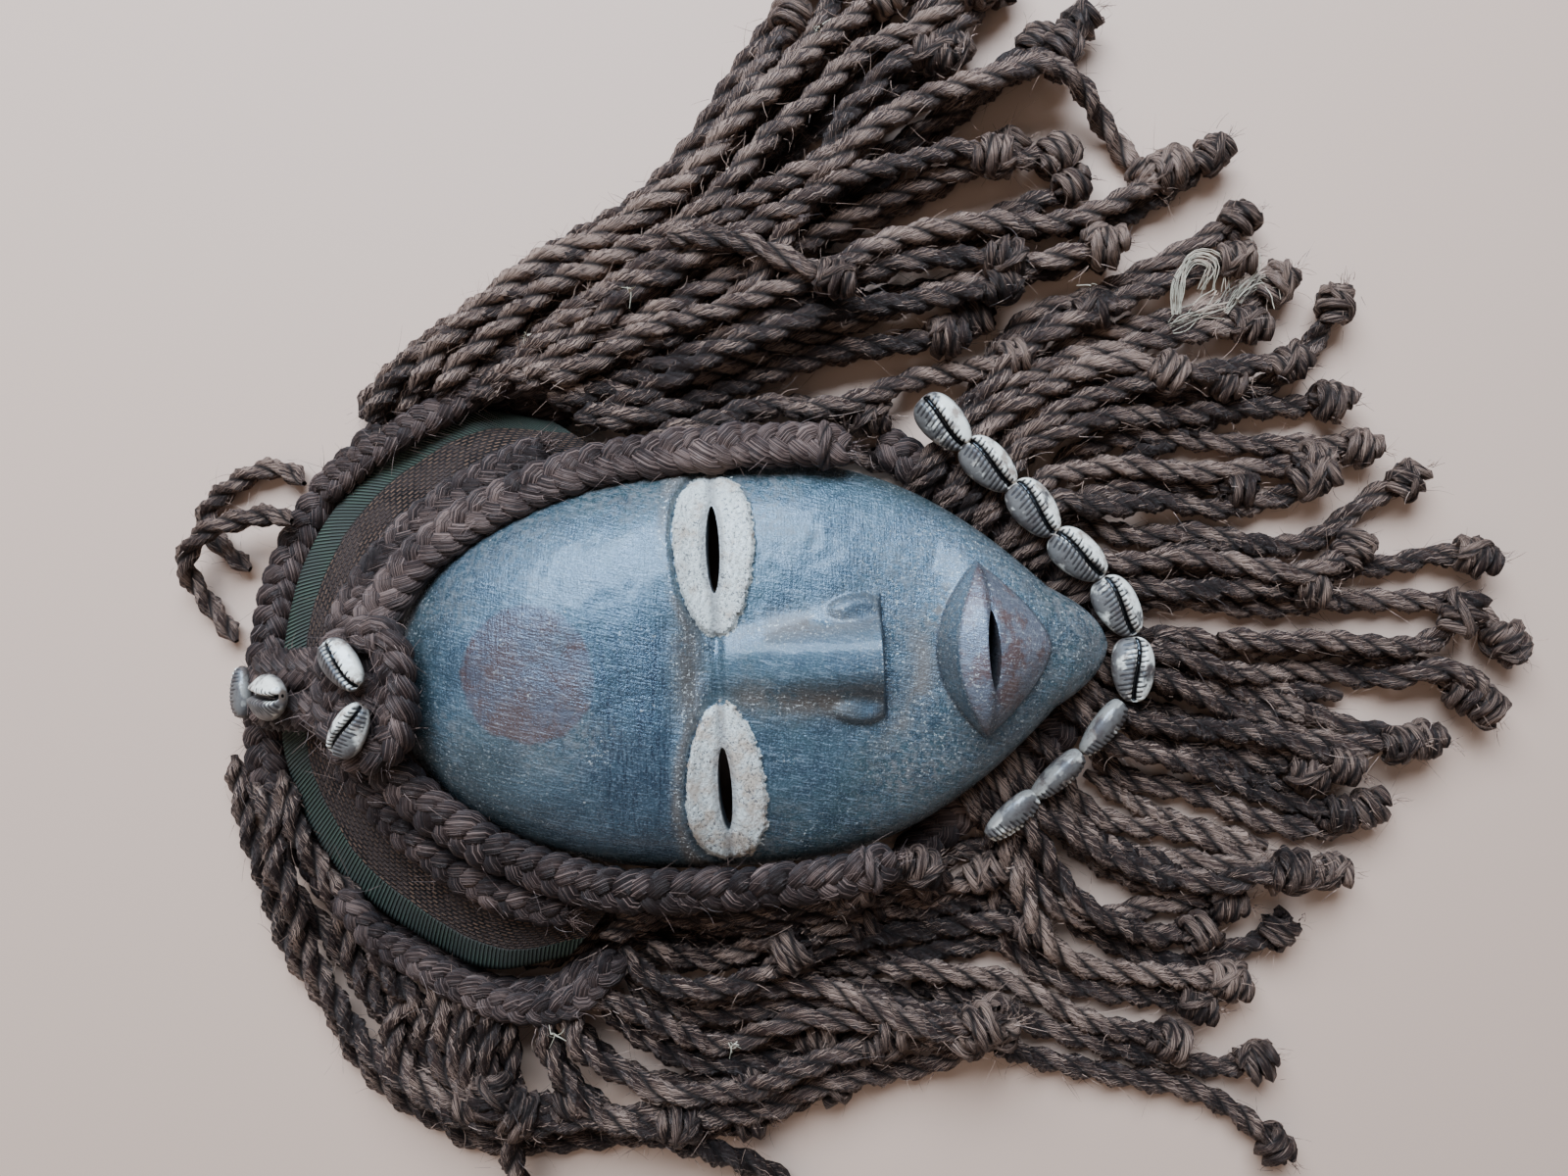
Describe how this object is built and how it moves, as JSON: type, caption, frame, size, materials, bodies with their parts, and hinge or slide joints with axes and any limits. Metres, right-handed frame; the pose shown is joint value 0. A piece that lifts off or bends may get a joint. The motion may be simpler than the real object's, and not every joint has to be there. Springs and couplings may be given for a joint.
{
  "type": "dan face mask",
  "caption": "Carved wooden face mask with slit eyes, a webbing cap band, plaited fibre hair and beard, and cowrie shells.",
  "frame": {"origin": "on the floor under the middle of the mask body, leaving out its free strands", "axes": "+X from the forehead to the chin, +Y to the mask's own left side, +Z out of the face; it lies on its back rim"},
  "size_m": [0.4691, 0.4479, 0.0648],
  "materials": {
    "painted_wood": "carved wood with a worn blue-grey patina, reddish on the lips and the forehead patch, chalky white round the eyes",
    "webbing": "coarse brown woven webbing with a ribbed green border",
    "fibre_plait": "plaited dark brown plant fibre, matt",
    "fibre_strand": "two-ply twisted brown plant fibre, matt and hairy",
    "cowrie_shell": "natural cowrie shell, glossy off-white with grey wear"
  },
  "bodies": {
    "root": {"mask_face": "painted_wood", "cap_band": "webbing", "brow_braid_left": "fibre_plait", "brow_braid_right": "fibre_plait", "cap_edge_braid": "fibre_plait", "beard_braid": "fibre_plait", "crown_braid": "fibre_plait", "crown_pad": "fibre_plait", "crown_cowrie_1": "cowrie_shell", "crown_cowrie_2": "cowrie_shell", "crown_cowrie_3": "cowrie_shell", "crown_cowrie_4": "cowrie_shell", "beard_cowrie_1": "cowrie_shell", "beard_cowrie_2": "cowrie_shell", "beard_cowrie_3": "cowrie_shell", "beard_cowrie_4": "cowrie_shell", "beard_cowrie_5": "cowrie_shell", "beard_cowrie_6": "cowrie_shell", "beard_cowrie_7": "cowrie_shell", "beard_cowrie_8": "cowrie_shell", "beard_cowrie_9": "cowrie_shell", "hair_strand_1": "fibre_strand", "hair_strand_2": "fibre_strand", "hair_strand_3": "fibre_strand", "hair_strand_4": "fibre_strand", "hair_strand_5": "fibre_strand", "hair_strand_6": "fibre_strand", "hair_strand_7": "fibre_strand", "hair_strand_8": "fibre_strand", "hair_strand_9": "fibre_strand", "hair_strand_10": "fibre_strand", "hair_strand_11": "fibre_strand", "hair_strand_12": "fibre_strand", "hair_strand_13": "fibre_strand", "hair_strand_14": "fibre_strand", "hair_strand_15": "fibre_strand", "hair_strand_16": "fibre_strand", "hair_strand_17": "fibre_strand", "beard_strand_1": "fibre_strand", "beard_strand_2": "fibre_strand", "beard_strand_3": "fibre_strand", "beard_strand_4": "fibre_strand", "beard_strand_5": "fibre_strand", "beard_strand_6": "fibre_strand", "beard_strand_7": "fibre_strand", "beard_strand_8": "fibre_strand", "beard_strand_9": "fibre_strand", "beard_strand_10": "fibre_strand", "beard_strand_11": "fibre_strand", "beard_strand_12": "fibre_strand", "beard_strand_13": "fibre_strand", "hair_lock_1": "fibre_strand", "hair_lock_2": "fibre_strand", "hair_lock_3": "fibre_strand", "hair_lock_4": "fibre_strand", "hair_lock_5": "fibre_strand", "hair_lock_6": "fibre_strand", "hair_lock_7": "fibre_strand", "tie_loop_1": "fibre_strand", "tie_loop_2": "fibre_strand"}
  },
  "joints": []
}
